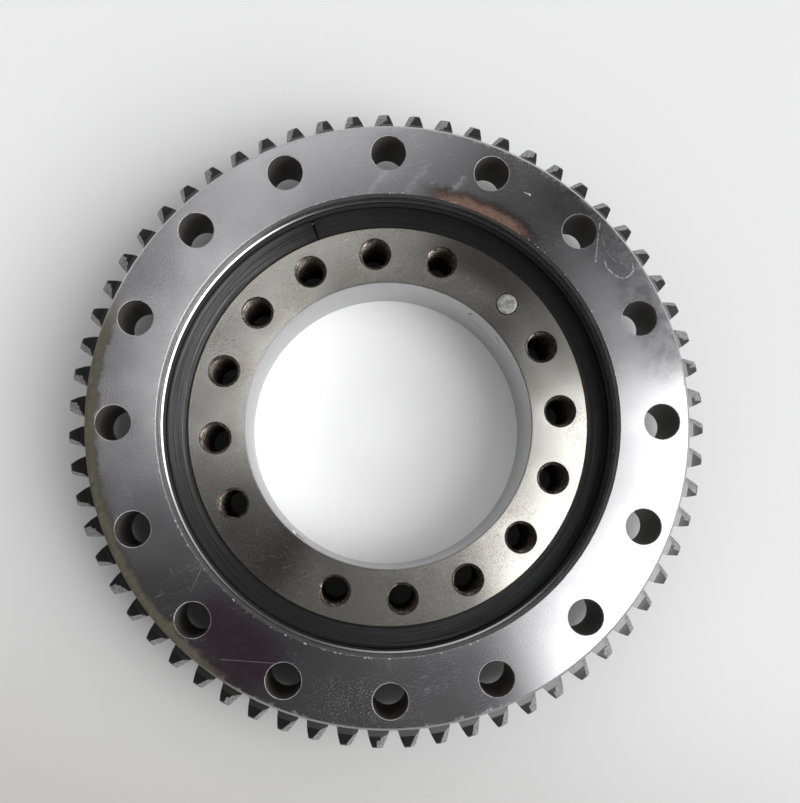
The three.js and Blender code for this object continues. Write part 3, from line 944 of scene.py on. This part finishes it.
def inner_tarnish(s):
    """Warm tarnish near the seal, and dark mottling with pale specks."""
    edge = s.shifted(s.radius, s.wave, 3)
    warm = s.times(s.step(edge, 99.2, 100.6), s.face, s.step(s.wave, 0.3, 0.6), 0.5)
    s.stain(warm, s.mix(s.noise(s.place, 0.08, 2), (0.66, 0.50, 0.28), (0.55, 0.52, 0.34)), 0.25)
    zones = s.most(s.band(s.angle, 26, 74, 9), s.band(s.angle, -152, -108, 9))
    where = s.most(s.step(s.noise(s.place, 0.03, 2, 0.5), 0.40, 0.60), s.times(zones, 0.9))
    mottle = s.times(s.step(s.fine, 0.48, 0.62), where, s.face, 0.6)
    s.stain(mottle, (0.25, 0.22, 0.185), 0.25)
    specks = s.times(s.step(s.noise(s.place, 1.8, 2), 0.58, 0.7), where, s.face, 0.2)
    s.wear(specks, (0.80, 0.79, 0.76), 0.42)


def inner_shades(s):
    """Brown by the bore, a zone of painted shade, a thin pale painted light and the dark line of the bore
    edge.
    """
    brown = s.times(s.step(s.noise(s.place, 0.04, 3, 0.6), 0.42, 0.66), s.step(s.radius, 90, 75))
    s.stain(s.times(brown, s.face, 0.35), (0.36, 0.29, 0.23), 0.26)
    # Painted shade: a darker zone at fixed angles towards the seal.
    shade = s.times(s.band(s.angle, 14, 76, 8), s.step(s.radius, 80, 96), s.face, 0.5)
    s.stain(shade, (0.16, 0.155, 0.145), 0.25)
    # Painted light: a thin pale matt layer at fixed angles, near the bore on one side and over the face on
    # the other.
    near_bore = s.times(s.band(s.angle, 48, 104, 9), s.step(s.radius, 93, 80))
    painted_light = s.times(s.most(near_bore, s.band(s.angle, -122, -68, 8)), s.face, 0.12)
    s.dull(painted_light, (0.34, 0.33, 0.30), 0.4)
    line = s.times(s.band(s.radius, BORE_R + 0.4, BORE_R + 1, 0.15), s.face, 0.5)
    s.stain(line, (0.16, 0.14, 0.12), 0.3)


def inner_edges(s):
    """Worn edges, tapped holes, the dull bore wall and the dark land under the seal."""
    nz, _ = s.upright()
    s.wear(s.band(nz, 0.28, 0.97, 0.03), (0.64, 0.63, 0.61), 0.32)
    near_holes = s.band(s.radius, TAPPED_PITCH_R - 10.5, TAPPED_PITCH_R + 10.5, 0.5)
    inside = s.times(near_holes, s.step(s.z, INNER_TOP - 0.05, INNER_TOP - 0.25))
    walls = s.times(s.step(s.math("ABSOLUTE", nz), 0.94, 0.9), inside)
    s.wear(walls, s.mix(s.step(s.fine, 0.4, 0.62), (0.07, 0.06, 0.05), (0.48, 0.41, 0.36)), 0.42)
    bore = s.step(s.radius, BORE_R + 0.3, BORE_R + 0.1)
    s.wear(bore, s.mix(s.wave, (0.43, 0.43, 0.435), (0.51, 0.51, 0.515)), 0.42)
    s.metal = s.blend(bore, s.metal, 0.75)
    land = s.times(s.step(s.radius, LAND_R + 0.05, LAND_R + 0.15), s.step(s.z, 50, 51))
    s.wear(land, (0.02, 0.02, 0.02), 0.6)


def rubber():
    s = Shader("seal_rubber")
    rub = s.noise(s.rings(2.2, 6), 1, 4, 0.7)
    cloud = s.noise(s.place, 0.08, 3)
    streak = s.step(s.noise(s.rings(1.3, 2), 1, 4, 0.75), 0.4, 0.66)
    s.base = s.mix(rub, (0.004, 0.004, 0.005), (0.015, 0.015, 0.016))
    grit = s.noise(s.place, 2.5, 2)
    height = s.math("ADD", rub, s.times(grit, 0.5))
    rough = s.math("ADD", 0.24, s.times(cloud, 0.12))
    rough = s.math("ADD", rough, s.times(streak, 0.22))
    s.set(Base_Color=s.base, Roughness=rough, Metallic=0, Anisotropic=0.9, Tangent=s.turned_tangent(),
          Normal=s.bump(height, 0.3, 0.00012), Specular_IOR_Level=s.blend(streak, 0.65, 0.3))
    return s


def ground_steel():
    s = Shader("pin_steel")
    cloud = s.noise(s.place, 0.5, 4, 0.7)
    cuts = s.noise(s.vector(s.times(s.x, 0.3), s.y, s.z), 2.2, 3, 0.6)
    s.base = s.mix(s.step(cloud, 0.35, 0.65), (0.14, 0.14, 0.137), (0.30, 0.30, 0.295))
    height = s.math("ADD", cloud, cuts)
    s.set(Base_Color=s.base, Roughness=0.5, Metallic=0.6, Normal=s.bump(height, 0.6, 0.0002))
    return s


def screw_steel():
    s = Shader("fastener_steel")
    cloud = s.noise(s.place, 0.8, 4, 0.7)
    s.base = s.mix(cloud, (0.34, 0.33, 0.30), (0.52, 0.51, 0.47))
    s.set(Base_Color=s.base, Roughness=s.math("ADD", 0.3, s.times(cloud, 0.2)), Metallic=1,
          Normal=s.bump(cloud, 0.2, 0.0001))
    return s


def ball_steel():
    s = Shader("ball_steel")
    film = s.noise(s.place, 0.25, 3, 0.6, 0.8)
    s.base = s.mix(film, (0.62, 0.60, 0.56), (0.78, 0.78, 0.79))
    s.set(Base_Color=s.base, Roughness=s.math("ADD", 0.06, s.times(film, 0.18)), Metallic=1)
    return s


def nylon():
    s = Shader("spacer_plastic")
    cloud = s.noise(s.place, 0.3, 3)
    grain = s.noise(s.place, 3, 2)
    s.base = s.mix(cloud, (0.66, 0.60, 0.45), (0.80, 0.76, 0.62))
    s.set(Base_Color=s.base, Roughness=s.math("ADD", 0.38, s.times(grain, 0.15)), Metallic=0,
          Subsurface_Weight=0.08, Normal=s.bump(grain, 0.15, 0.00008))
    return s


# -------------------- the bearing

def build_bearing():
    steel_inner = inner_steel()
    seal_rubber = rubber()
    finish_piece(outer_ring(), "outer_ring", "outer_ring", outer_steel())
    finish_piece(inner_ring(), "inner_ring", "inner_ring", steel_inner)
    finish_piece(upper_seal(), "inner_ring", "upper_seal", seal_rubber, smooth_angle=50)
    finish_piece(lower_seal(), "inner_ring", "lower_seal", seal_rubber, smooth_angle=50)
    finish_piece(load_plug(), "inner_ring", "load_plug", steel_inner)
    finish_piece(taper_pin(), "inner_ring", "taper_pin", ground_steel())
    finish_piece(grease_plug(), "inner_ring", "grease_plug", screw_steel())
    steel_ball, plastic = ball_steel(), nylon()
    ball_points, ball_faces = ball_mesh()
    spacer_points, spacer_faces = spun(spacer_profile(), segments=40)
    for i in range(BALL_COUNT):
        number = f"{i + 1:02d}"
        x, y = polar(RACE_R, i * 360 / BALL_COUNT)
        ball = make_object(f"ball_{number}_polished", ball_points + (x, y, RACE_Z), ball_faces)
        finish_piece(ball, f"ball_{number}", f"ball_{number}", steel_ball, smooth_angle=60)
        middle = (i + 0.5) * 360 / BALL_COUNT
        turn = Matrix.Rotation(math.radians(middle), 4, "Z") @ Matrix.Rotation(math.radians(-90), 4, "X")
        place = Matrix.Translation((*polar(RACE_R, middle), RACE_Z)) @ turn
        spacer = make_object(f"spacer_{number}_moulded", moved(spacer_points, place), spacer_faces)
        finish_piece(spacer, "spacer_set", f"spacer_{number}", plastic, smooth_angle=40)


build_bearing()


# -------------------- floor, light and camera

FLOOR_HALF, FLOOR_DROP = 3000, 0.2


def pale_floor():
    """White paper, with painted light brighter in the bore, painted shade greyer towards -Y, and a painted
    shadow under the ring.
    """
    corners = [(x * FLOOR_HALF, y * FLOOR_HALF, 0) for x, y in ((-1, -1), (1, -1), (1, 1), (-1, 1))]
    floor = make_object("floor", corners, [(0, 1, 2, 3)])
    floor.location.z = -FLOOR_DROP * MM
    s = Shader("floor_paper")
    cloud = s.noise(s.place, 0.004, 2.0)
    paper = s.mix(cloud, (0.63, 0.63, 0.635), (0.665, 0.665, 0.67))
    # Painted light: inside the bore the paper is made brighter, most of all near the wall.
    middle = s.mix(s.step(s.radius, 20.0, 66.0), (0.77, 0.77, 0.775), (0.93, 0.93, 0.935))
    paper = s.mix(s.step(s.radius, 86.0, 76.0), paper, middle)
    # Painted shade: the paper is greyed towards -Y.
    near_corner = s.math("ADD", s.times(s.x, 0.35), s.y)
    shade = s.step(near_corner, -20.0, -300.0)
    # Painted shadow: a dark ring where the outer ring hangs over the floor, deeper towards -Y.
    lee = s.math("ADD", s.times(s.x, 0.4), s.times(s.y, 0.9))
    lee = s.math("ADD", 0.45, s.times(s.step(lee, 10.0, -100.0), 0.46))
    under = s.times(s.band(s.radius, 104.0, 152.0, 8.0), lee)
    paper = s.mix(shade, paper, (0.42, 0.415, 0.41))
    s.set(Base_Color=s.mix(under, paper, (0.02, 0.02, 0.02)), Roughness=0.7)
    floor.data.materials.append(s.material)


# Brightness of the room by compass direction, in degrees from +X.
ROOM = [
    (0, 1.5), (12, 2.0), (17.5, 0.85), (21, 0.5), (30, 0.4), (50, 0.06), (68, 0.06), (92, 0.37),
    (112, 0.42), (127, 0.06), (140, 0.0), (303, 0.03), (311, 0.9), (318, 2.1), (340, 2.15), (360, 1.5),
]
ROOM_LEVEL = 3.0
AMBIENT, FILL, BACKDROP = 0.006, 0.5, 0.8
HORIZON, HORIZON_TOP, HORIZON_FOOT = 0.08, math.radians(22), math.radians(6)
WALL_FOOT = math.radians(20), math.radians(40)
WALL_HEAD = math.radians(80), math.radians(72)


def studio_world():
    """Light from windows and walls all round; the camera itself sees a plain bright backdrop."""
    world = bpy.data.worlds.new("studio")
    bpy.context.scene.world = world
    world.use_nodes = True
    tree = world.node_tree

    def math_node(operation, a, b=None):
        made = tree.nodes.new("ShaderNodeMath")
        made.operation = operation
        for socket, value in zip(made.inputs, (a, b)):
            if isinstance(value, bpy.types.NodeSocket):
                tree.links.new(value, socket)
            elif value is not None:
                socket.default_value = value
        return made.outputs[0]

    def step(value, low, high):
        made = tree.nodes.new("ShaderNodeMapRange")
        made.interpolation_type = "SMOOTHSTEP"
        tree.links.new(value, made.inputs[0])
        made.inputs[1].default_value, made.inputs[2].default_value = low, high
        return made.outputs[0]

    direction = tree.nodes.new("ShaderNodeTexCoord").outputs["Generated"]
    split = tree.nodes.new("ShaderNodeSeparateXYZ")
    tree.links.new(direction, split.inputs[0])
    x, y, z = split.outputs
    around = math_node("DIVIDE", math_node("ARCTAN2", y, x), 2 * math.pi)
    share = math_node("FRACT", math_node("ADD", around, 1.0))
    brightest = max(level for _, level in ROOM)
    ramp = tree.nodes.new("ShaderNodeValToRGB")
    stops = ramp.color_ramp.elements
    for i, (degrees, level) in enumerate(ROOM):
        stop = stops[i] if i < 2 else stops.new(degrees / 360)
        stop.position = degrees / 360
        stop.color = (level / brightest,) * 3 + (1,)
    tree.links.new(share, ramp.inputs[0])
    height = math_node("ARCSINE", z)
    wall = math_node("MULTIPLY", step(height, *WALL_FOOT), step(height, *WALL_HEAD))
    room = math_node("MULTIPLY", math_node("MULTIPLY", ramp.outputs[0], brightest * ROOM_LEVEL), wall)
    horizon = math_node("MULTIPLY", step(height, HORIZON_TOP, HORIZON_FOOT), HORIZON)
    path = tree.nodes.new("ShaderNodeLightPath").outputs
    fill = math_node("MULTIPLY", path["Is Diffuse Ray"], FILL)
    light = math_node("ADD", math_node("ADD", room, horizon), math_node("ADD", fill, AMBIENT))
    strength = tree.nodes.new("ShaderNodeMix")
    tree.links.new(path["Is Camera Ray"], strength.inputs["Factor"])
    tree.links.new(light, strength.inputs["A"])
    strength.inputs["B"].default_value = BACKDROP
    background = tree.nodes["Background"]
    tree.links.new(strength.outputs["Result"], background.inputs["Strength"])
    background.inputs["Color"].default_value = (1, 1, 1, 1)


# The camera that was fitted to the photo: lens and sensor in mm, turn in radians about X and Y, and
# where the middle of the ring's top face stands in front of it, in mm.
LENS, SENSOR = 55.66, 36
CAMERA_TURN = Vector((-0.082, -0.0325, 0))
CAMERA_SHIFT = Vector((-5.16, 10.17, 609.92))


def place_camera():
    data = bpy.data.cameras.new("camera")
    data.sensor_width = SENSOR
    data.lens = LENS
    data.clip_start, data.clip_end = 0.05, 20
    camera = bpy.data.objects.new("camera", data)
    bpy.context.scene.collection.objects.link(camera)
    tilt = Matrix.Rotation(CAMERA_TURN.length, 3, CAMERA_TURN.normalized())
    view = tilt @ Matrix.Diagonal((1, -1, -1))
    where = -(view.transposed() @ CAMERA_SHIFT) * MM + Vector((0, 0, OUTER_TOP * MM))
    right, down, forward = view
    turn = Matrix((right, -down, -forward)).transposed()
    camera.matrix_world = Matrix.Translation(where) @ turn.to_4x4()
    bpy.context.scene.camera = camera


pale_floor()
studio_world()
place_camera()
bpy.context.scene.view_settings.view_transform = "Standard"
